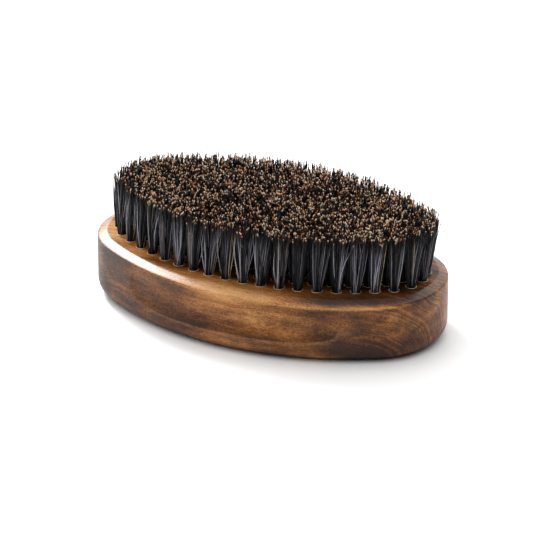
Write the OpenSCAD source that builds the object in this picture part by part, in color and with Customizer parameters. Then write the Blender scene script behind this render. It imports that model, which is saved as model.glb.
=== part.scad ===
// Oval beard brush with a one-piece hardwood back.
//
// The back is drilled with blind holes in concentric oval rows. Each hole holds one tuft
// of boar bristles, folded double over a flat wire anchor that is driven into the hole
// and grips its wall. The back lies on its flat resting face at Z = 0, its length runs
// along X, and the bristles point up.

/* [Back] */
// Length of the back, along X
back_length = 115; // [105:1:125]
// Width of the back, along Y
back_width = 67; // [63:1:71]
// Thickness of the back, from the resting face to the bristle face
back_height = 20.4; // [18:0.2:23]
// Radius of the two round ends, as a share of half the width
back_fullness = 0.70; // [0.66:0.02:0.78]
// Width of the bevel around the bristle face
bevel_width = 3.1; // [2:0.1:3.6]
// Drop of the bevel, from the bristle face to the ridge
bevel_drop = 1.3; // [1:0.1:2]
// Radius of the sanded ridge between the bevel and the side
ridge_radius = 0.7; // [0.4:0.1:1]
// Radius that rolls the side under to the resting face
base_radius = 5; // [3:0.5:6]

/* [Finger coves] */
// Length of each finger cove, along the back's long sides
cove_length = 70; // [56:1:76]
// Height of each cove, up the side
cove_height = 12; // [9:0.5:13]
// Depth of each cove at its middle
cove_depth = 1.6; // [0.8:0.1:2]
// Distance from the cove's upper edge to the ridge
cove_top_gap = 0.4; // [0.2:0.1:1]

/* [Bristles] */
// Distance from the back's end to the middle of the end tuft
end_margin = 6.5; // [6:0.1:8]
// Distance from the back's side to the middle of the outermost tufts
side_margin = 8.4; // [7.8:0.1:9]
// Radius of the outer row's round ends, as a share of half the row's width
field_fullness = 0.54; // [0.50:0.02:0.58]
// Length of the bristles above the bristle face
free_length = 17.2; // [14:0.2:20]
// Diameter of a tuft where it leaves its hole
root_diameter = 2.7; // [2.4:0.1:2.8]
// Smallest gap left between two tufts at their trimmed tips
tuft_gap = 0.2; // [0.1:0.05:0.6]

/* [Holes and anchors] */
// Diameter of each drilled hole
hole_diameter = 3.1; // [3:0.05:3.4]
// Depth of each drilled hole
hole_depth = 9; // [8:0.5:11]
// Thickness of the flat anchor wire
anchor_thickness = 0.4; // [0.3:0.05:0.5]
// Height of the flat anchor wire
anchor_height = 1.3; // [1:0.1:1.6]
// Thickness of the folded bristles under the anchor
fold_thickness = 0.6; // [0.4:0.1:0.8]
// Direction of the anchors, turned from the grain so that they don't split the wood
anchor_angle = 45; // [0:5:90]

/* [Hidden] */
$fn = 96;
degree = PI / 180;
half_length = back_length / 2;
half_width = back_width / 2;
end_radius = back_fullness * half_width;
// Tufts in each oval row, from the outermost in, and in the straight row in the middle
ROW_TUFTS = [42, 38, 32, 26, 20];
centre_row_tufts = 9;
ring_rows = len(ROW_TUFTS);
// Each row's ends are a little sharper than those of the row outside it.
fullness_step = 0.03;
// The straight row stops this far short of where a row of no width would end.
centre_row_margin = 4;
field_length = back_length - 2 * end_margin;
field_width = back_width - 2 * side_margin;
row_step = field_width / 2 / ring_rows;
hole_floor = back_height - hole_depth;
anchor_floor = hole_floor + fold_thickness;
centre_row_length = field_length - field_width - 2 * centre_row_margin;
// Direction square to the bevel, up from the horizontal
bevel_normal = atan2(bevel_width, bevel_drop);
// Height at which the straight side ends and the ridge's round begins
side_top = back_height - bevel_drop - ridge_radius * tan(bevel_normal / 2);
cove_top = side_top - cove_top_gap;
cove_half_height = min(cove_height, cove_top - base_radius) / 2;
cove_middle = cove_top - cove_half_height;
// Facets of the back's outline, and of the round stretches up its side
outline_sides = 96;
base_steps = 6;
cove_steps = 10;
ridge_steps = 4;
// A cutter runs this far past the face that it opens.
margin = 1;
// A tuft this near to a middle line stands on it.
line_width = 0.01;
QUARTERS = ["back_right", "back_left", "front_left", "front_right"];
HALVES = ["left", "right"];
function tuft_node(row, quarter) = str("row_", row + 1, "_tufts_", QUARTERS[quarter]);
function centre_node(half) = str("centre_row_tufts_", HALVES[half]);
function anchor_node(row) = str("row_", row + 1, "_anchors");

// A four-centre oval of half length a and half width b has two end arcs of radius r and
// two side arcs that meet them smoothly. These give the side arcs' radius, and the angle
// that a side arc spans on each side of the Y axis.
function side_radius(a, b, r) = (a * a + b * b - 2 * a * r) / (2 * (b - r));
function side_angle(a, b, r) = atan((a - r) / (side_radius(a, b, r) - b));
function end_arc(a, b, r) = r * (90 - side_angle(a, b, r)) * degree;
function side_arc(a, b, r) = side_radius(a, b, r) * side_angle(a, b, r) * degree;
function oval_perimeter(a, b, r) = 4 * (end_arc(a, b, r) + side_arc(a, b, r));

// The place on the oval's first quarter at a distance s from its +X end, and the outward
// direction there, as [x, y, outward x, outward y].
function quarter_point(a, b, r, s) =
    let (on_end = s < end_arc(a, b, r))
    let (radius = on_end ? r : side_radius(a, b, r))
    let (middle = on_end ? [a - r, 0] : [0, b - radius])
    let (turn = on_end
        ? s / r / degree
        : 90 - side_angle(a, b, r) + (s - end_arc(a, b, r)) / radius / degree)
    [middle.x + radius * cos(turn), middle.y + radius * sin(turn), cos(turn), sin(turn)];

// The same on the whole oval, counter-clockwise, by mirroring the first quarter.
function oval_point(a, b, r, s) =
    let (quarter_length = oval_perimeter(a, b, r) / 4)
    let (quarter = floor(s / quarter_length))
    let (along = s - quarter * quarter_length)
    let (p = quarter_point(a, b, r, quarter % 2 == 0 ? along : quarter_length - along))
    let (sx = (quarter == 0 || quarter == 3) ? 1 : -1)
    let (sy = quarter < 2 ? 1 : -1)
    [sx * p[0], sy * p[1], sx * p[2], sy * p[3]];

// Row 0 is the outermost oval row, and each next row lies one step further in. Every
// second row starts half a pitch along, so that its tufts stand in its neighbours' gaps.
function row_a(row) = field_length / 2 - row * row_step;
function row_b(row) = field_width / 2 - row * row_step;
function row_r(row) = (field_fullness - row * fullness_step) * row_b(row);
function row_points(row) =
    let (pitch = oval_perimeter(row_a(row), row_b(row), row_r(row)) / ROW_TUFTS[row])
    let (start = row % 2 == 0 ? 0 : 0.5)
    [for (i = [0 : ROW_TUFTS[row] - 1])
        let (p = oval_point(row_a(row), row_b(row), row_r(row), (i + start) * pitch))
        [p[0], p[1]]];
// A tuft on one of the two middle lines counts as left of it or in front of it.
function in_quarter(p, quarter) =
    (quarter == 0 || quarter == 3) == (p.x > line_width) && (quarter < 2) == (p.y > line_width);
function quarter_points(row, quarter) =
    [for (p = row_points(row)) if (in_quarter(p, quarter)) p];
function centre_points() =
    [for (i = [0 : centre_row_tufts - 1])
        [(i / (centre_row_tufts - 1) - 0.5) * centre_row_length, 0]];
function half_points(half) =
    [for (p = centre_points()) if ((half == 1) == (p.x > line_width)) p];
function all_points() =
    concat([for (row = [0 : ring_rows - 1]) each row_points(row)], centre_points());
function closest_spacing(points) = min(
    [for (i = [1 : len(points) - 1])
        for (j = [0 : i - 1])
            norm(points[i] - points[j])]
);
tip_diameter = closest_spacing(all_points()) - tuft_gap;

// Up the back's side, from the resting face to the bristle face, each as
// [inset from the outline, height].
function side_levels() = concat(
    [for (i = [0 : base_steps])
        let (a = 90 * i / base_steps)
        [base_radius * (1 - sin(a)), base_radius * (1 - cos(a))]],
    [for (i = [0 : cove_steps])
        [0, cove_middle + cove_half_height * (2 * i / cove_steps - 1)]],
    [for (i = [0 : ridge_steps])
        let (a = bevel_normal * i / ridge_steps)
        [ridge_radius * (1 - cos(a)), side_top + ridge_radius * sin(a)]],
    [[bevel_width, back_height]]
);

// Depth of the finger coves below the side: round in section, deepest in the middle of
// the long side, with blunt round ends.
function cove(x, z) =
    let (u = min(1, abs(x) / (cove_length / 2)))
    let (v = (z - cove_middle) / cove_half_height)
    cove_depth * max(0, sqrt(1 - pow(u, 4)) - v * v);

// The undrilled back, as rings of points up its side with a flat face above and below.
module back_blank() {
    n = outline_sides;
    perimeter = oval_perimeter(half_length, half_width, end_radius);
    outline = [for (i = [0 : n - 1])
        oval_point(half_length, half_width, end_radius, perimeter * i / n)];
    levels = side_levels();
    points = [for (level = levels, p = outline)
        let (inset = level[0] + cove(p[0], level[1]))
        [p[0] - inset * p[2], p[1] - inset * p[3], level[1]]];
    resting_face = [[for (i = [0 : n - 1]) i]];
    bristle_face = [[for (i = [n - 1 : -1 : 0]) (len(levels) - 1) * n + i]];
    sides = [for (k = [0 : len(levels) - 2], i = [0 : n - 1])
        let (next = (i + 1) % n)
        [k * n + i, (k + 1) * n + i, (k + 1) * n + next, k * n + next]];
    polyhedron(points, concat(resting_face, sides, bristle_face), convexity = 4);
}

module wood_back() {
    color("saddlebrown")
        difference() {
            back_blank();
            for (p = all_points())
                translate([p.x, p.y, hole_floor])
                    cylinder(d = hole_diameter, h = hole_depth + margin);
        }
}

// The flat wire across a hole, its ends against the hole's wall.
module anchor() {
    translate([0, 0, anchor_floor])
        intersection() {
            cylinder(d = hole_diameter, h = anchor_height);
            rotate(anchor_angle)
                translate([-hole_diameter, -anchor_thickness / 2, 0])
                    cube([2 * hole_diameter, anchor_thickness, anchor_height]);
        }
}

// A round bundle in its hole that spreads evenly to its trimmed tips, with the window
// that the anchor passes through above the fold.
module tuft() {
    difference() {
        rotate_extrude()
            polygon([
                [0, hole_floor],
                [root_diameter / 2, hole_floor],
                [root_diameter / 2, back_height],
                [tip_diameter / 2, back_height + free_length],
                [0, back_height + free_length]
            ]);
        translate([0, 0, anchor_floor])
            rotate(anchor_angle)
                translate([-root_diameter, -anchor_thickness / 2, 0])
                    cube([2 * root_diameter, anchor_thickness, anchor_height]);
    }
}

module tufts(points) {
    color("#1f1e20")
        for (p = points) translate([p.x, p.y, 0]) tuft();
}

module anchors(points) {
    color("silver")
        for (p = points) translate([p.x, p.y, 0]) anchor();
}

wood_back();
for (row = [0 : ring_rows - 1], quarter = [0 : 3])
    tufts(quarter_points(row, quarter));
for (half = [0, 1])
    tufts(half_points(half));
for (row = [0 : ring_rows - 1])
    anchors(row_points(row));
anchors(centre_points());  // centre_row_anchors
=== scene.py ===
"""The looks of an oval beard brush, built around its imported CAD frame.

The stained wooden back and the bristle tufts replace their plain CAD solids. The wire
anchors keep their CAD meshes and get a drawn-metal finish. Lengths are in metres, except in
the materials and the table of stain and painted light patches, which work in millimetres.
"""

import math

import bpy
import numpy as np
from mathutils import Matrix, Vector
from mathutils.geometry import delaunay_2d_cdt


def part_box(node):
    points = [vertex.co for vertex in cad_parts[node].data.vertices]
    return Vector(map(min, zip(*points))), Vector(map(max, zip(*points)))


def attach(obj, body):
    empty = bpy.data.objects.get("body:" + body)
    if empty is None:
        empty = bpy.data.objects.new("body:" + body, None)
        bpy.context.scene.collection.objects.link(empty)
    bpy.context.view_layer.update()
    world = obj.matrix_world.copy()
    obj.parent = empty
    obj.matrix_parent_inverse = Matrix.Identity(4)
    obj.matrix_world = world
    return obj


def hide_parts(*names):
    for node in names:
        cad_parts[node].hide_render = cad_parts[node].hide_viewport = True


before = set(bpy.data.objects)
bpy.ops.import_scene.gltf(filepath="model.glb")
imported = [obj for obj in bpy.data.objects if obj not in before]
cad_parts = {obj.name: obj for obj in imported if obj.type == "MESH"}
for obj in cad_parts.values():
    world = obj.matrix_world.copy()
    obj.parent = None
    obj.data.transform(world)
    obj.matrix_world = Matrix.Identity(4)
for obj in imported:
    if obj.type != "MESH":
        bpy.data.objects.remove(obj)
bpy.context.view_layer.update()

MM = 0.001
rng = np.random.default_rng(41)

# ---------------------------------------------------------------- sizes from the frame

back_low, back_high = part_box("wood_back")
HALF_LENGTH = (back_high.x - back_low.x) / 2
HALF_WIDTH = (back_high.y - back_low.y) / 2
FACE_Z = back_high.z

tuft_nodes = sorted(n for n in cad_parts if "_tufts_" in n)
anchor_nodes = sorted(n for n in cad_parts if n.endswith("_anchors"))
HOLE_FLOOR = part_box(tuft_nodes[0])[0].z
TIP_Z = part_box(tuft_nodes[0])[1].z
ANCHOR_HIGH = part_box(anchor_nodes[0])[1].z

# The back's own shape, as in the CAD part.
BACK_FULLNESS = 0.70
BEVEL_WIDTH = 3.1 * MM
BEVEL_DROP = 1.3 * MM
RIDGE_RADIUS = 0.7 * MM
BASE_RADIUS = 5.0 * MM
COVE_LENGTH = 70 * MM
COVE_HEIGHT = 12 * MM
COVE_DEPTH = 1.6 * MM
COVE_TOP_GAP = 0.4 * MM
COVE_SOFTNESS = 0.05
HOLE_RADIUS = 1.55 * MM
ROOT_RADIUS = 1.35 * MM
ANCHOR_ANGLE = math.radians(45)


# ---------------------------------------------------------------- meshes


def new_object(name, points, faces, smooth=True):
    """A mesh object from an array of points and a list of faces."""
    sizes = np.fromiter((len(face) for face in faces), dtype=np.int32, count=len(faces))
    corners = np.fromiter((i for face in faces for i in face), dtype=np.int32, count=sizes.sum())
    mesh = bpy.data.meshes.new(name)
    mesh.vertices.add(len(points))
    mesh.vertices.foreach_set("co", np.asarray(points, dtype=np.float32).ravel())
    mesh.loops.add(len(corners))
    mesh.loops.foreach_set("vertex_index", corners)
    mesh.polygons.add(len(sizes))
    mesh.polygons.foreach_set("loop_start", (np.cumsum(sizes) - sizes).astype(np.int32))
    mesh.polygons.foreach_set("use_smooth", np.broadcast_to(smooth, len(sizes)).tolist())
    mesh.update(calc_edges=True)
    obj = bpy.data.objects.new(name, mesh)
    bpy.context.scene.collection.objects.link(obj)
    return obj


def tuft_centres(node):
    """The middle of each tuft of a CAD node, from the discs that stand on the holes' floors."""
    neighbour = 1.2 * MM
    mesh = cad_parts[node].data
    points = np.array([v.co for v in mesh.vertices])
    low = points[points[:, 2] < HOLE_FLOOR + 0.01 * MM][:, :2]
    left = list(range(len(low)))
    middles = []
    while left:
        group = [left.pop()]
        for member in group:
            near = [i for i in left if np.hypot(*(low[i] - low[member])) < neighbour]
            group += near
            left = [i for i in left if i not in near]
        disc = low[group]
        middles.append((disc.min(0) + disc.max(0)) / 2)
    return sorted((round(x, 7), round(y, 7)) for x, y in middles)


centres = {node: tuft_centres(node) for node in tuft_nodes}
all_centres = sorted(c for node in tuft_nodes for c in centres[node])


# ---------------------------------------------------------------- the wooden back

OUTLINE_POINTS = 640
ROLL_RINGS = 11
SIDE_RINGS = 61
RIDGE_RINGS = 7
RIM_POINTS = 40


def outline(count):
    """Points and outward directions around the back's four-centre oval."""
    a = HALF_LENGTH
    b = HALF_WIDTH
    end_radius = BACK_FULLNESS * b
    side_radius = (a * a + b * b - 2 * a * end_radius) / (2 * (b - end_radius))
    turn = math.atan2(a - end_radius, side_radius - b)
    end_arc = end_radius * (math.pi / 2 - turn)
    quarter = end_arc + side_radius * turn
    s = np.arange(count) * 4 * quarter / count
    index = np.floor(s / quarter).astype(int) % 4
    along = s - np.floor(s / quarter) * quarter
    along = np.where(index % 2 == 0, along, quarter - along)
    on_end = along < end_arc
    side_angle = math.pi / 2 - turn + (along - end_arc) / side_radius
    angle = np.where(on_end, along / end_radius, side_angle)
    radius = np.where(on_end, end_radius, side_radius)
    x = np.where(on_end, a - end_radius, 0) + radius * np.cos(angle)
    y = np.where(on_end, 0, b - side_radius) + radius * np.sin(angle)
    side_x = np.where((index == 0) | (index == 3), 1, -1)
    side_y = np.where(index < 2, 1, -1)
    place = np.stack([side_x * x, side_y * y], 1)
    outward = np.stack([side_x * np.cos(angle), side_y * np.sin(angle)], 1)
    return place, outward


def softened(value, width):
    """max(value, 0) with its corner rounded over a width."""
    return (value + np.sqrt(value * value + width * width)) / 2


# How far the ridge turns from the upright side to the bevel, the height where it starts,
# and the height of the middle of the coves below it.
RIDGE_TURN = math.atan2(BEVEL_WIDTH, BEVEL_DROP)
SIDE_TOP = FACE_Z - BEVEL_DROP - RIDGE_RADIUS * math.tan(RIDGE_TURN / 2)
COVE_MIDDLE = SIDE_TOP - COVE_TOP_GAP - COVE_HEIGHT / 2


def cove(x, z):
    """Depth of the finger coves, with sanded edges, and how far inside one a point is."""
    u = np.abs(x) / (COVE_LENGTH / 2)
    v = (z - COVE_MIDDLE) / (COVE_HEIGHT / 2)
    inside = np.sqrt(np.maximum(0, 1 - u**4)) - np.maximum(0, u - 1) * 2 - v * v
    level = softened(inside, COVE_SOFTNESS) - softened(-1.0, COVE_SOFTNESS)
    return COVE_DEPTH * level, inside


def side_levels():
    """Rings from the floor to the bristle face, each as its inset from the outline, its
    height, and whether the coves cut it."""
    levels = []
    for angle in np.linspace(0, math.pi / 2, ROLL_RINGS):
        inset = BASE_RADIUS * (1 - math.sin(angle))
        levels.append((inset, BASE_RADIUS * (1 - math.cos(angle)), 0))
    levels[-1] = (0, BASE_RADIUS, 1)
    for z in np.linspace(BASE_RADIUS, SIDE_TOP, SIDE_RINGS)[1:]:
        levels.append((0, z, 1))
    for angle in np.linspace(0, RIDGE_TURN, RIDGE_RINGS)[1:]:
        inset = RIDGE_RADIUS * (1 - math.cos(angle))
        levels.append((inset, SIDE_TOP + RIDGE_RADIUS * math.sin(angle), 0))
    ridge_inset, ridge_z = levels[-1][:2]

    # The flat bevel, and a softened crease where it meets the bristle face.
    crease = 0.2 * MM
    for t in (0.25, 0.5, 0.75, 1 - crease / BEVEL_WIDTH):
        inset = ridge_inset + (BEVEL_WIDTH - ridge_inset) * t
        levels.append((inset, ridge_z + (FACE_Z - ridge_z) * t, 0))
    levels.append((BEVEL_WIDTH + 0.05 * MM, FACE_Z - 0.02 * MM, 0))
    levels.append((BEVEL_WIDTH + crease, FACE_Z, 0))
    levels.append((BEVEL_WIDTH + 0.5 * MM, FACE_Z, 0))
    return levels


def build_back():
    """The drilled, bevelled back as one closed mesh."""
    count = OUTLINE_POINTS
    place, outward = outline(count)
    rings = []
    hollow = []
    edge = []
    for inset, z, cut in side_levels():
        depth, inside = cove(place[:, 0], z)
        ring = place - outward * (inset + depth * cut)[:, None]
        rings.append(np.column_stack([ring, np.full(count, z)]))
        hollow.extend(inside)
        edge.extend([float(abs(inset - BEVEL_WIDTH) < 0.3 * MM)] * count)
    vertices = [tuple(p) for ring in rings for p in ring]
    faces = [list(range(count))[::-1]]
    for k in range(len(rings) - 1):
        for i in range(count):
            j = (i + 1) % count
            faces.append([k * count + i, k * count + j, (k + 1) * count + j, (k + 1) * count + i])
    smooth = [False] + [True] * (len(faces) - 1)

    # The blind holes, each with a wavy rim of raw wood that the drill has raised a little.
    # A row is its radius around the hole, its height, and how raw its wood is. The faces of
    # these rims and walls are wound the other way from the rest of the back.
    theta = np.arange(RIM_POINTS) * 2 * math.pi / RIM_POINTS
    mouth = np.full(RIM_POINTS, HOLE_RADIUS)
    last = (len(rings) - 1) * count
    holes_start = len(vertices)
    flat = [Vector(vertices[last + i][:2]) for i in range(count)]
    index = [last + i for i in range(count)]
    edges = [(i, (i + 1) % count) for i in range(count)]
    raw = [0.0] * len(vertices)
    for cx, cy in all_centres:
        waves = sum(
            rng.uniform(0.2, 1) * np.cos(n * theta + rng.uniform(0, 2 * math.pi))
            for n in (1, 2, 3, 5, 8)
        )
        outer = HOLE_RADIUS + (0.20 + 0.04 * waves) * MM
        first = len(flat)
        start = len(vertices)
        rows = (
            (outer, FACE_Z, 0.3),
            (outer - 0.05 * MM, FACE_Z + 0.03 * MM, 1.0),
            (mouth + 0.04 * MM, FACE_Z + 0.07 * MM, 1.0),
            (mouth, FACE_Z - 0.05 * MM, 1.0),
            (mouth, HOLE_FLOOR, 0.5),
        )
        for radius, z, rawness in rows:
            for t, r in zip(theta, radius):
                vertices.append((cx + r * math.cos(t), cy + r * math.sin(t), z))
                raw.append(rawness)
        for i in range(RIM_POINTS):
            flat.append(Vector(vertices[start + i][:2]))
            index.append(start + i)
            edges.append((first + (i + 1) % RIM_POINTS, first + i))
        for k in range(len(rows) - 1):
            a = start + k * RIM_POINTS
            for i in range(RIM_POINTS):
                j = (i + 1) % RIM_POINTS
                faces.append([a + RIM_POINTS + i, a + RIM_POINTS + j, a + j, a + i])
                smooth.append(True)
        bottom = start + (len(rows) - 1) * RIM_POINTS
        faces.append([bottom + i for i in range(RIM_POINTS)])
        smooth.append(False)

    # The bristle face between its edge and the rims. A triangle whose corners are all on
    # one rim covers that hole, so it is left out.
    points, _, triangles, _, _, _ = delaunay_2d_cdt(flat, edges, [], 0, 1e-9)
    for triangle in triangles:
        corners = [index[i] for i in triangle]
        owners = {(corner - holes_start) // (RIM_POINTS * len(rows)) for corner in corners}
        if min(corners) >= holes_start and len(owners) == 1:
            continue
        a, b, c = (points[i] for i in triangle)
        if (b - a).cross(c - a) < 0:
            corners.reverse()
        faces.append(corners)
        smooth.append(False)

    back = new_object("back_of_stained_wood", vertices, faces, smooth)
    bare = len(vertices) - len(hollow)
    hollow += [-2.0] * bare
    edge += [0.0] * bare
    for name, values in (("raw_wood", raw), ("hollow", hollow), ("crease", edge)):
        attribute = back.data.attributes.new(name, "FLOAT", "POINT")
        attribute.data.foreach_set("value", values)
    return back


# ---------------------------------------------------------------- bristles

FIBRES = 96
FIBRE_SIDES = 4
BRANCH_SIDES = 3
# One fibre in this many has a split tip.
SPLIT_EVERY = 3
BURIED = 2.2 * MM
CLUMPS = 28
# The thinnest and the thickest fibre's radius, in millimetres.
FIBRE_RADII = (0.095, 0.145)
TIP_RADIUS = 3.15 * MM
STRAY_REACH = 2.2 * MM
# How much of a tuft's root radius its dark core keeps above the bristle face.
CORE_SHARE = 0.72
# The whole field has been brushed a little towards +X, most of all at its -X end.
LEAN = 1.2 * MM
END_LEAN = 1.1 * MM

# Shares of the fibres: strays, the strays that the outermost row has on top of them, those
# that the trimming missed, the blond ones, and those with the tip colour of their clump.
STRAY_SHARE = 0.025
EDGE_STRAY_SHARE = 0.045
MISSED_SHARE = 0.12
BLOND_SHARE = 0.026
CLUMP_COLOUR_SHARE = 0.6

# Along a fibre, from its root to its tip: places, thickness, brightness of the body's colour as
# painted shade, dimmer at the root and nearly black near the tip, and how much of the tip's colour
# shows.
FIBRE_STEPS = np.array([0.0, 0.0, 0.18, 0.42, 0.68, 0.92, 0.966, 1.0])
FIBRE_PROFILE = np.array([1.0, 1.0, 1.0, 0.97, 0.92, 0.88, 0.95, 0.88])
BODY_PAINTED_SHADE = np.array([0.7, 0.7, 1.0, 1.0, 0.85, 0.08, 0.04, 0])
TIP_REACH = np.array([0, 0, 0, 0, 0, 0, 0.12, 1.0])

BLACK = np.array([0.0035, 0.0035, 0.0048])
# A painted sheen: this light grey on a share of the fibres stands in for the highlights along them.
PAINTED_SHEEN_GREY = np.array([0.560, 0.550, 0.630])
BLOND = np.array([0.52, 0.42, 0.27])
TIP_COLOURS = np.array([
    [0.008, 0.005, 0.007],
    [0.110, 0.038, 0.030],
    [0.560, 0.220, 0.100],
    [1.000, 0.500, 0.240],
    [1.000, 0.680, 0.430],
    [1.000, 0.830, 0.640],
])
TIP_SHARES = [0.52, 0.14, 0.06, 0.08, 0.11, 0.09]


def tubes(paths, radii, colours, sides):
    """Closed tapering tubes along many paths at once: points, faces and point colours."""
    fibres, steps, _ = paths.shape
    tangent = np.gradient(paths, axis=1)
    tangent /= np.linalg.norm(tangent, axis=2, keepdims=True)
    turn = rng.uniform(0, 2 * math.pi, fibres)
    guide = np.stack([np.cos(turn), np.sin(turn), np.zeros(fibres)], 1)[:, None, :]
    across = np.cross(tangent, guide)
    across /= np.linalg.norm(across, axis=2, keepdims=True)
    along = np.cross(tangent, across)
    angle = np.arange(sides) * 2 * math.pi / sides
    circle = (
        across[:, :, None, :] * np.cos(angle)[None, None, :, None]
        + along[:, :, None, :] * np.sin(angle)[None, None, :, None]
    )
    rings = paths[:, :, None, :] + circle * radii[:, :, None, None]
    points = rings.reshape(-1, 3)
    shade = np.repeat(colours[:, :, None, :], sides, axis=2).reshape(-1, 3)
    i = np.arange(sides)
    j = (i + 1) % sides
    walls = [np.column_stack([j, i, i + sides, j + sides]) + k * sides for k in range(steps - 1)]
    ends = np.array([i, (steps - 1) * sides + i[::-1]])
    base = np.arange(fibres)[:, None, None] * steps * sides
    faces = (np.concatenate(walls)[None] + base).reshape(-1, 4).tolist()
    faces += (ends[None] + base).reshape(-1, sides).tolist()
    return points, faces, shade


def half_bundle(centre, side):
    """One leg of a tuft's packed root, on one side of the anchor, as rings of a closed tube."""
    flutes = 12
    angle = np.linspace(-math.pi / 2, math.pi / 2, 2 * flutes + 1)
    groove = np.where(np.arange(2 * flutes + 1) % 2 == 0, 0.90, 1.0)
    anchor_gap = 0.26 * MM
    facing = ANCHOR_ANGLE + math.pi / 2 + (0 if side > 0 else math.pi)
    # Each ring's height, share of the root's radius, and gap to the middle of the tuft.
    rings = (
        (HOLE_FLOOR, 1.0, anchor_gap),
        (ANCHOR_HIGH + 0.4 * MM, 1.0, anchor_gap),
        (FACE_Z - 1 * MM, 1.0, 0.02 * MM),
        (FACE_Z, 0.97, 0.0),
        (FACE_Z + 4 * MM, 1.05, 0.0),
        (FACE_Z + 9 * MM, 1.0, 0.0),
    )
    points = []
    for z, share, opening in rings:
        radius = ROOT_RADIUS * share * groove * (1 if z <= FACE_Z else CORE_SHARE)
        out = np.maximum(radius * np.cos(angle), 0) + opening
        out = np.minimum(out, ROOT_RADIUS)
        across = radius * np.sin(angle) * math.sqrt(1 - (opening / ROOT_RADIUS) ** 2)
        x = centre[0] + out * math.cos(facing) - across * math.sin(facing)
        y = centre[1] + out * math.sin(facing) + across * math.cos(facing)
        points.append(np.column_stack([x, y, np.full(len(x), z)]))
    sides = len(angle)
    faces = [list(range(sides))[::-1]]
    for k in range(len(points) - 1):
        for i in range(sides):
            j = (i + 1) % sides
            a = k * sides
            faces.append([a + i, a + j, a + sides + j, a + sides + i])
    faces.append([(len(points) - 1) * sides + i for i in range(sides)])
    return np.concatenate(points), faces


def tuft_paths(centre, edge):
    """Paths, radii and colours of one tuft's fibres. edge is 1 in the outermost row, else 0."""
    cx, cy = centre
    n = FIBRES
    golden = math.pi * (3 - math.sqrt(5))
    spin = rng.uniform(0, 2 * math.pi)
    order = np.arange(n) + 0.5
    radius = np.sqrt(order / n)
    angle = order * golden + spin
    root = np.stack([radius * np.cos(angle), radius * np.sin(angle)], 1)

    # Fibres lean together in small clumps, so the trimmed top has specks and dark gaps.
    seeds = np.sqrt(rng.uniform(0, 1, CLUMPS))[:, None]
    turn = rng.uniform(0, 2 * math.pi, CLUMPS)[:, None]
    seeds = seeds * np.hstack([np.cos(turn), np.sin(turn)])
    nearest = np.argmin(((root[:, None] - seeds[None]) ** 2).sum(2), axis=1)
    gather = rng.uniform(0.45, 0.85, n)[:, None]
    tip = root * (1 - gather) + seeds[nearest] * gather

    spread = rng.normal(1.0, 0.05)
    lean = rng.normal(0, 0.16 * MM, 2)
    lean[0] += LEAN + END_LEAN * max(0, -cx / HALF_LENGTH) ** 2
    jitter = rng.normal(0, 0.20 * MM, (n, 2))
    end = tip * (TIP_RADIUS * spread) + lean + jitter

    stray = rng.uniform(0, 1, n) < STRAY_SHARE + EDGE_STRAY_SHARE * edge
    wander = rng.normal(0, 1.4 * MM, (stray.sum(), 2))
    end[stray] += np.clip(wander, -STRAY_REACH, STRAY_REACH)
    height = TIP_Z + rng.normal(0, 0.12 * MM) + rng.normal(0.4 * MM, 0.62 * MM, n)
    height[stray] += rng.normal(-0.6 * MM, 0.9 * MM, stray.sum())
    missed = rng.uniform(0, 1, n) < MISSED_SHARE
    height[missed] += rng.uniform(0.3 * MM, 1.5 * MM, missed.sum())

    # The bundle fans out evenly from the hole's mouth to its trimmed tips.
    bend = rng.normal(0, 0.22 * MM, (n, 2))
    bend[stray] *= 3
    bow = np.sin(FIBRE_STEPS * math.pi)
    start = root * (ROOT_RADIUS - 0.06 * MM)
    xy = (
        start[:, None, :]
        + (end - start)[:, None, :] * FIBRE_STEPS[None, :, None]
        + bend[:, None, :] * bow[None, :, None]
    )
    z = FACE_Z + (height - FACE_Z)[:, None] * FIBRE_STEPS[None, :]
    z[:, 0] = FACE_Z - BURIED
    paths = np.dstack([xy[:, :, 0] + cx, xy[:, :, 1] + cy, z])

    thick = rng.uniform(*FIBRE_RADII, n) * MM
    radii = thick[:, None] * FIBRE_PROFILE[None, :]

    # Most fibres are black, and a few get a painted grey sheen that stands in for their highlights,
    # above all the strays. Pale tips are thicker.
    painted_sheen = rng.uniform(0, 1, n)[:, None] ** 5
    painted_sheen[stray] = 0.9
    # Painted shade: the inner rows keep less of the painted sheen.
    painted_sheen *= 1.0 if edge else 0.35
    body = BLACK * (1 - painted_sheen) + PAINTED_SHEEN_GREY * painted_sheen
    blond = rng.uniform(0, 1, n) < BLOND_SHARE
    body[blond] = BLOND * rng.uniform(0.4, 1.9, blond.sum())[:, None]
    shared = rng.choice(len(TIP_COLOURS), CLUMPS, p=TIP_SHARES)[nearest]
    own = rng.choice(len(TIP_COLOURS), n, p=TIP_SHARES)
    tips = TIP_COLOURS[np.where(rng.uniform(0, 1, n) < CLUMP_COLOUR_SHARE, shared, own)]
    tips = tips * rng.uniform(0.8, 1.0, n)[:, None]
    radii[:, -1] *= 1 + 0.85 * tips[:, 0]
    light = BODY_PAINTED_SHADE * (1 - TIP_REACH)
    colours = body[:, None, :] * light[None, :, None] + tips[:, None, :] * TIP_REACH[None, :, None]
    return paths, radii, colours


def split_tips(paths, radii, colours):
    """A thinner second point that splits off each fibre just below its tip."""
    n = len(paths)
    base = paths[:, -2]
    down = paths[:, -3] - base
    start = base + down * 0.15
    away = np.column_stack([rng.normal(0, 0.26 * MM, (n, 2)), rng.normal(-0.10 * MM, 0.22 * MM, n)])
    end = paths[:, -1] + away
    middle = start * 0.5 + end * 0.5 + away * 0.15
    branch = np.stack([start, middle, end], 1)
    width = radii[:, :1] * np.array([0.62, 0.55, 0.25])[None, :]
    colour = np.stack([colours[:, -3], colours[:, -2], colours[:, -1]], 1)
    return branch, width, colour


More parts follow.
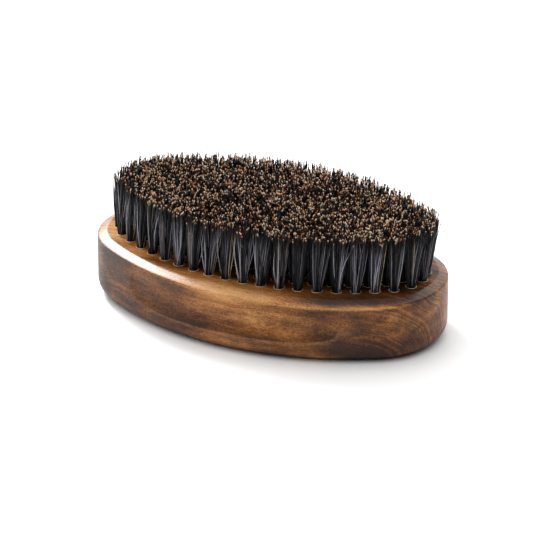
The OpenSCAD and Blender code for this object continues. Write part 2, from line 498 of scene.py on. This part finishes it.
def build_tufts(node):
    """All the tufts of one CAD node as one piece."""
    vertices = []
    faces = []
    shades = []
    offset = 0

    def add(points, new_faces, shade):
        nonlocal offset
        vertices.append(points)
        faces.extend([[offset + i for i in face] for face in new_faces])
        shades.append(shade)
        offset += len(points)

    for centre in centres[node]:
        paths, radii, colours = tuft_paths(centre, 1.0 if node.startswith("row_1") else 0.0)
        add(*tubes(paths, radii, colours, FIBRE_SIDES))
        split = slice(None, None, SPLIT_EVERY)
        add(*tubes(*split_tips(paths[split], radii[split], colours[split]), BRANCH_SIDES))
        for side in (-1, 1):
            points, leg_faces = half_bundle(centre, side)
            add(points, leg_faces, np.tile(BLACK * 0.8, (len(points), 1)))
    name = node.replace("_tufts", "_bristles")
    piece = new_object(name, np.concatenate(vertices).tolist(), faces)
    colour = piece.data.color_attributes.new("fibre_colour", "FLOAT_COLOR", "POINT")
    shade = np.concatenate(shades)
    rgba = np.column_stack([np.clip(shade, 0, 1), np.ones(len(shade))])
    colour.data.foreach_set("color", rgba.astype(np.float32).ravel())
    return piece


# ---------------------------------------------------------------- materials


class Shader:
    """A small helper that adds and joins shader nodes."""

    def __init__(self, name):
        self.material = bpy.data.materials.new(name)
        self.material.use_nodes = True
        self.tree = self.material.node_tree
        self.tree.nodes.clear()
        self.output = self.tree.nodes.new("ShaderNodeOutputMaterial")

    def put(self, socket, value):
        if isinstance(value, bpy.types.NodeSocket):
            self.tree.links.new(value, socket)
        elif value is not None:
            socket.default_value = value

    def add(self, kind, values=(), **settings):
        node = self.tree.nodes.new("ShaderNode" + kind)
        for key, value in settings.items():
            setattr(node, key, value)
        for index, value in enumerate(values):
            self.put(node.inputs[index], value)
        return node

    def position(self):
        """Object coordinates in millimetres."""
        place = self.add("TexCoord").outputs["Object"]
        return self.vector("MULTIPLY", place, (1000, 1000, 1000))

    def vector(self, operation, a, b=None, c=None):
        return self.add("VectorMath", (a, b, c), operation=operation).outputs[0]

    def math(self, operation, a, b=None, c=None):
        return self.add("Math", (a, b, c), operation=operation).outputs[0]

    def split(self, vector):
        return self.add("SeparateXYZ", (vector,)).outputs

    def noise(self, vector, stretch, detail=2.0, roughness=0.5):
        """Noise of about one feature per millimetre, times stretch along each axis."""
        node = self.add("TexNoise", noise_dimensions="3D")
        self.put(node.inputs["Vector"], self.vector("MULTIPLY", vector, stretch))
        node.inputs["Scale"].default_value = 1.0
        node.inputs["Detail"].default_value = detail
        node.inputs["Roughness"].default_value = roughness
        return node

    def noise_line(self, w, detail=2.0, roughness=0.5):
        node = self.add("TexNoise", noise_dimensions="1D")
        self.put(node.inputs["W"], w)
        node.inputs["Scale"].default_value = 1.0
        node.inputs["Detail"].default_value = detail
        node.inputs["Roughness"].default_value = roughness
        return node.outputs[0]

    def span(self, value, low, high, to_low=0.0, to_high=1.0):
        node = self.add("MapRange", (value, low, high, to_low, to_high), clamp=True)
        return node.outputs[0]

    def ramp(self, value, stops):
        node = self.add("ValToRGB", (value,))
        elements = node.color_ramp.elements
        while len(elements) < len(stops):
            elements.new(0.5)
        for element, (place, colour) in zip(elements, stops):
            element.position = place
            element.color = (*colour, 1)
        return node.outputs[0]

    def mix(self, share, a, b):
        node = self.tree.nodes.new("ShaderNodeMix")
        node.data_type = "RGBA"
        self.put(node.inputs["Factor"], share)
        for socket, value in zip([i for i in node.inputs if i.type == "RGBA"], (a, b)):
            self.put(socket, (*value, 1) if isinstance(value, tuple) else value)
        return [o for o in node.outputs if o.type == "RGBA"][0]

    def surface(self, **inputs):
        node = self.tree.nodes.new("ShaderNodeBsdfPrincipled")
        for name, value in inputs.items():
            self.put(node.inputs[name.replace("_", " ")], value)
        self.tree.links.new(node.outputs[0], self.output.inputs["Surface"])
        return self.material

    def bump(self, height, strength, distance):
        node = self.add("Bump")
        node.inputs["Strength"].default_value = strength
        node.inputs["Distance"].default_value = distance
        self.put(node.inputs["Height"], height)
        return node.outputs[0]


# The growth rings circle a line along X, which runs this far in front of the middle and
# this far below the floor.
RING_LINE_FORWARD = 27.0
RING_LINE_BELOW = 3.0
RINGS_PER_MM = 1.15
# Heights over which the varnish changes: from the side to the bevel, and from the bevel to
# the bristle face.
SIDE_TO_BEVEL = (FACE_Z / MM - 1.8, FACE_Z / MM - 1.3)
BEVEL_TO_FACE = (FACE_Z / MM - 0.1, FACE_Z / MM - 0.01)

# Lighter and darker places on the wood, the same on both long sides, as middle and reach
# in millimetres and change in tone. Many of them are painted light and shade, as marked below;
# the others lighten or darken the stain in places.
TONE_PATCHES_WITH_PAINTED_LIGHT = (
    ((24, -30, 8.0), (26, 10, 4.0), 0.07),
    ((6, -33, 13), (34, 10, 6), 0.20),
    ((35.5, -26, 12), (7, 9, 5), 0.12),
    ((-13, -32, 7.5), (17, 10, 2.5), -0.10),
    ((-35, -27, 12), (16, 12, 8), -0.05),
    ((42, -23, 14), (8, 9, 5), -0.05),
    ((40, -23, 3), (14, 12, 6), -0.28),
    # Painted shade: the -X end of the side is darkened.
    ((-54, -12, 10), (20, 20, 13), -0.26),
    # Painted highlight and painted reflection: the bevel and the flat beside the tufts are
    # lightened towards -X.
    ((-4, -32, 19.8), (62, 9, 1.8), 0.27),
    ((-46, -12, 20.4), (26, 22, 2), 0.24),
    ((-14, -28, 20.4), (28, 6, 2), 0.22),
    # Painted shade: the flat in front of the tufts is darkened at +X.
    ((36, -27, 20.4), (42, 16, 2.5), -0.02),
    # Painted highlights: thin light lines just under the ridge.
    ((4, -33, 18.0), (34, 9, 2.4), 0.16),
    ((40, -24, 18.5), (32, 14, 1.0), 0.55),
    # Painted shade: the bevel is darkened at +X.
    ((42, -24, 19.9), (30, 14, 0.9), -0.15),
    # Painted shade: the flat between the tufts is darkened.
    ((0, 0, 20.4), (50, 25, 3), -0.40),
    ((57, -8, 12), (14, 20, 12), 0.16),
    ((54, -10, 4), (16, 20, 6), -0.13),
    # Painted shade: the flat at the +X end is darkened.
    ((52, 0, 20.4), (18, 32, 3), -0.12),
)


def wood_material():
    """Dark-stained hardwood: growth rings about a line under the front edge, with fine grain,
    pores, stain clouds, raw wood where the drill broke the finish, and painted light and shade."""
    s = Shader("stained_wood")
    p = s.position()
    x, y, z = s.split(p)
    warp = s.noise(p, (0.02, 0.05, 0.05), 2).outputs[1]
    warp = s.split(s.vector("SUBTRACT", warp, (0.5, 0.5, 0.5)))
    across = s.math("MULTIPLY_ADD", warp[0], 8.0, s.math("ADD", y, RING_LINE_FORWARD))
    up = s.math("MULTIPLY_ADD", warp[1], 8.0, s.math("ADD", z, RING_LINE_BELOW))
    radius = s.math("ADD", s.math("MULTIPLY", across, across), s.math("MULTIPLY", up, up))
    radius = s.math("SQRT", radius)
    rings = s.noise_line(s.math("MULTIPLY", radius, RINGS_PER_MM), 3, 0.65)
    at_end = s.span(s.math("ABSOLUTE", x), 34, 50, 0.10, 1.0)
    cloud = s.noise(p, (0.04, 0.10, 0.13), 4, 0.6).outputs[0]
    streak = s.noise(p, (0.022, 0.4, 0.5), 3, 0.6).outputs[0]
    fibre = s.noise(p, (0.16, 3.4, 3.4), 4, 0.62).outputs[0]
    pores = s.noise(p, (0.5, 5.0, 5.0), 2, 0.5).outputs[0]
    speck = s.noise(p, (1.6, 4.0, 4.0), 3, 0.6).outputs[0]

    # How light the stain is: clouds, long streaks, fine fibre, and growth rings at the ends.
    tone = s.math("MULTIPLY_ADD", cloud, 0.95, -0.34)
    tone = s.math("MULTIPLY_ADD", streak, 0.34, tone)
    tone = s.math("MULTIPLY_ADD", fibre, 0.48, tone)
    end_rings = s.math("MULTIPLY", s.math("SUBTRACT", rings, 0.5), at_end)
    tone = s.math("MULTIPLY_ADD", end_rings, 0.54, tone)
    tone = s.math("MULTIPLY_ADD", s.math("SUBTRACT", speck, 0.5), 0.60, tone)

    # The patches are placed on the front, and the minus |y| puts them on the back too.
    both_sides = s.vector("MULTIPLY", s.vector("ABSOLUTE", p), (0, -1, 0))
    both_sides = s.vector("MULTIPLY_ADD", p, (1, 0, 1), both_sides)
    for middle, reach, lift in TONE_PATCHES_WITH_PAINTED_LIGHT:
        offset = s.vector("SUBTRACT", both_sides, middle)
        offset = s.vector("MULTIPLY", offset, [1 / r for r in reach])
        far = s.add("VectorMath", (offset,), operation="LENGTH").outputs["Value"]
        tone = s.math("ADD", tone, s.span(far, 0.1, 1.0, lift, 0.0))
    colour = s.ramp(tone, (
        (0.36, (0.027, 0.0085, 0.0025)),
        (0.50, (0.080, 0.0240, 0.0045)),
        (0.62, (0.180, 0.0580, 0.0090)),
        (0.76, (0.345, 0.1300, 0.0260)),
        (0.95, (0.590, 0.2900, 0.0950)),
    ))
    olive = s.noise(p, (0.03, 0.14, 0.17), 3, 0.6).outputs[0]
    colour = s.mix(s.span(olive, 0.54, 0.68, 0, 0.40), colour, (0.034, 0.020, 0.006))
    pore = s.span(pores, 0.60, 0.68)
    colour = s.mix(s.math("MULTIPLY", pore, 0.55), colour, (0.010, 0.005, 0.003))

    # Darker stain and painted shade gather in the lower rim of each cove, and a painted highlight,
    # mottled like wear, lightens the lip below it. Both fade out towards -X. The crease around the
    # bristle face is worn on the -X side.
    hollow = s.add("Attribute", attribute_name="hollow").outputs["Fac"]
    worn = s.noise(p, (0.8, 1.1, 2.0), 3, 0.65).outputs[0]
    lower = s.span(z, 10.5, 11.5, 1.0, 0.0)
    lower = s.math("MULTIPLY", lower, s.span(x, -34, -16))
    pooled_stain_and_shade = s.math("MULTIPLY", s.span(hollow, -0.02, 0.08), s.span(hollow, 0.10, 0.55, 1.0, 0.0))
    pooled_stain_and_shade = s.math("MULTIPLY", pooled_stain_and_shade, lower)
    pooled_stain_and_shade = s.math("MULTIPLY", pooled_stain_and_shade, s.span(streak, 0.35, 0.65, 0.85, 0.45))
    colour = s.mix(pooled_stain_and_shade, colour, (0.030, 0.011, 0.004))
    painted_lip_highlight = s.math("MULTIPLY", s.span(hollow, -0.42, -0.12), s.span(hollow, -0.08, 0.02, 1.0, 0.0))
    painted_lip_highlight = s.math("MULTIPLY", painted_lip_highlight, lower)
    painted_lip_highlight = s.math("MULTIPLY", painted_lip_highlight, s.span(worn, 0.36, 0.64, 0.0, 0.6))
    colour = s.mix(painted_lip_highlight, colour, (0.26, 0.15, 0.085))
    crease = s.add("Attribute", attribute_name="crease").outputs["Fac"]
    worn_edge = s.math("MULTIPLY", crease, s.span(worn, 0.42, 0.56))
    worn_edge = s.math("MULTIPLY", worn_edge, s.span(x, 2, 22, 1.0, 0.0))
    colour = s.mix(s.math("MULTIPLY", worn_edge, 0.6), colour, (0.42, 0.26, 0.13))

    raw = s.add("Attribute", attribute_name="raw_wood").outputs["Fac"]
    chip = s.noise(p, (2.2, 2.2, 2.2), 3, 0.7).outputs[0]
    raw = s.span(s.math("MULTIPLY", raw, s.span(chip, 0.30, 0.50, 0.45, 1.0)), 0.30, 0.60)
    colour = s.mix(raw, colour, (0.80, 0.63, 0.43))

    height = s.math("MULTIPLY_ADD", fibre, 0.5, s.math("MULTIPLY", pore, -0.8))
    height = s.math("MULTIPLY_ADD", speck, 0.5, height)
    rough = s.span(s.noise(p, (0.3, 0.9, 0.9), 3, 0.6).outputs[0], 0.3, 0.7, -0.07, 0.08)
    # The varnish is thickest on the bevel, most of all about a quarter of the way from its
    # -X end, and thin on the flat between the tufts.
    bevel = s.math("MULTIPLY", s.span(z, *SIDE_TO_BEVEL), s.span(z, *BEVEL_TO_FACE, 1.0, 0.0))
    rough = s.math("ADD", rough, s.math("MULTIPLY_ADD", bevel, -0.20, 0.52))
    gloss = s.math("MULTIPLY", s.span(x, -57, -40, 0.02, 0.36), s.span(x, -26, 2, 1.0, 0.25))
    return s.surface(
        Base_Color=colour,
        Roughness=rough,
        Specular_IOR_Level=s.span(z, *BEVEL_TO_FACE, 0.28, 0.14),
        Coat_Weight=s.math("MULTIPLY_ADD", bevel, gloss, 0.10),
        Coat_Roughness=0.20,
        Normal=s.bump(height, 0.3, 0.05 * MM),
    )


def bristle_material():
    """Black boar bristle with split tan tips; each fibre's colour, painted sheen and painted shade
    are on its mesh.
    """
    s = Shader("boar_bristle")
    p = s.position()
    own = s.add("Attribute", attribute_name="fibre_colour").outputs["Color"]
    mottle = s.noise(p, (6, 6, 1.2), 3, 0.6).outputs[0]
    colour = s.mix(s.span(mottle, 0.35, 0.65, 0.0, 0.45), own, (0.003, 0.003, 0.004))
    rough = s.span(s.noise(p, (9, 9, 0.8), 2, 0.5).outputs[0], 0.3, 0.7, 0.28, 0.50)
    return s.surface(
        Base_Color=colour,
        Roughness=rough,
        Specular_IOR_Level=0.18,
        Normal=s.bump(s.noise(p, (14, 14, 3), 2).outputs[0], 0.25, 0.02 * MM),
    )


def anchor_material():
    """Drawn steel wire with faint die lines."""
    s = Shader("anchor_wire")
    p = s.position()
    lines = s.noise(p, (1.2, 1.2, 22), 3, 0.6).outputs[0]
    return s.surface(
        Base_Color=s.ramp(lines, ((0.3, (0.36, 0.36, 0.37)), (0.7, (0.62, 0.62, 0.61)))),
        Metallic=1.0,
        Roughness=s.span(lines, 0.3, 0.7, 0.25, 0.45),
        Normal=s.bump(lines, 0.3, 0.01 * MM),
    )


def floor_material():
    """Matt, nearly white studio floor."""
    s = Shader("studio_floor")
    p = s.position()
    tint = s.noise(p, (0.01, 0.01, 0.01), 2).outputs[0]
    return s.surface(
        Base_Color=s.ramp(tint, ((0.0, (0.90, 0.90, 0.90)), (1.0, (0.93, 0.93, 0.93)))),
        Roughness=0.6,
        Specular_IOR_Level=0.3,
    )


# ---------------------------------------------------------------- putting it together

wood = build_back()
wood.data.materials.append(wood_material())
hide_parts("wood_back")
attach(wood, "root")

bristle = bristle_material()
for node in tuft_nodes:
    tufts = build_tufts(node)
    tufts.data.materials.append(bristle)
    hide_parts(node)
    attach(tufts, "root")

wire = anchor_material()
for node in anchor_nodes:
    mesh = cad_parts[node].data
    mesh.materials.clear()
    mesh.materials.append(wire)


# ---------------------------------------------------------------- studio

LIGHT_TARGET = Vector((0, 0, 10 * MM))
# The sky is brightest above, a little behind and to the left. Its strength rises between
# the two values of the cosine of the angle to that direction.
SKY_DIRECTION = (-0.38, 0.32, 0.87)
SKY_COSINES = (0.08, 1.0)
SKY_STRENGTHS = (0.06, 2.55)
FLOOR_HALF = 2500 * MM
FLOOR_Z = -0.02 * MM


def softbox(name, azimuth, elevation, distance, size, power, roll):
    """An area light that faces the brush, from a direction in degrees (0 is the front)."""
    light = bpy.data.lights.new(name, "AREA")
    light.shape = "RECTANGLE"
    light.size, light.size_y = size
    light.energy = power
    obj = bpy.data.objects.new(name, light)
    bpy.context.scene.collection.objects.link(obj)
    a = math.radians(azimuth)
    e = math.radians(elevation)
    place = Vector((math.sin(a) * math.cos(e), -math.cos(a) * math.cos(e), math.sin(e))) * distance
    obj.location = place
    obj.rotation_euler = (LIGHT_TARGET - place).to_track_quat("-Z", "Y").to_euler()
    obj.rotation_euler.rotate_axis("Z", math.radians(roll))


# A tall narrow light, rolled so that the bevel mirrors it all along the left front.
softbox(
    "key_back_left",
    azimuth=-123.4,
    elevation=39,
    distance=0.9,
    size=(0.16, 0.58),
    power=7.2,
    roll=-19,
)

world = bpy.data.worlds.new("studio")
world.use_nodes = True
tree = world.node_tree
sky = tree.nodes.new("ShaderNodeTexCoord")
toward = tree.nodes.new("ShaderNodeVectorMath")
toward.operation = "DOT_PRODUCT"
toward.inputs[1].default_value = SKY_DIRECTION
glow = tree.nodes.new("ShaderNodeMapRange")
for index, value in enumerate(SKY_COSINES + SKY_STRENGTHS, start=1):
    glow.inputs[index].default_value = value
tree.links.new(sky.outputs["Generated"], toward.inputs[0])
tree.links.new(toward.outputs["Value"], glow.inputs[0])
tree.links.new(glow.outputs[0], tree.nodes["Background"].inputs["Strength"])
tree.nodes["Background"].inputs["Color"].default_value = (1, 1, 1, 1)
bpy.context.scene.world = world

floor_corners = [
    (side_x * FLOOR_HALF, side_y * FLOOR_HALF, FLOOR_Z)
    for side_x, side_y in ((-1, -1), (1, -1), (1, 1), (-1, 1))
]
floor = new_object("studio_floor", floor_corners, [[0, 1, 2, 3]], smooth=False)
floor.data.materials.append(floor_material())

CAMERA_AZIMUTH = math.radians(26.3)
CAMERA_ELEVATION = math.radians(25.1)
CAMERA_DISTANCE = 1100 * MM
CAMERA_TARGET = Vector((1.63 * MM, -6.27 * MM, 17.25 * MM))
CAMERA_LENS = 242.6
camera_data = bpy.data.cameras.new("camera")
camera_data.lens = CAMERA_LENS
camera_data.sensor_width = 36
camera_data.clip_start = 0.05
camera = bpy.data.objects.new("camera", camera_data)
bpy.context.scene.collection.objects.link(camera)
back = Vector((
    math.sin(CAMERA_AZIMUTH) * math.cos(CAMERA_ELEVATION),
    -math.cos(CAMERA_AZIMUTH) * math.cos(CAMERA_ELEVATION),
    math.sin(CAMERA_ELEVATION),
))
right = Vector((math.cos(CAMERA_AZIMUTH), math.sin(CAMERA_AZIMUTH), 0))
rotation = Matrix((right, back.cross(right), back)).transposed().to_4x4()
camera.matrix_world = Matrix.Translation(CAMERA_TARGET + back * CAMERA_DISTANCE) @ rotation
bpy.context.scene.camera = camera
bpy.context.scene.view_settings.view_transform = "Standard"

bpy.context.view_layer.update()
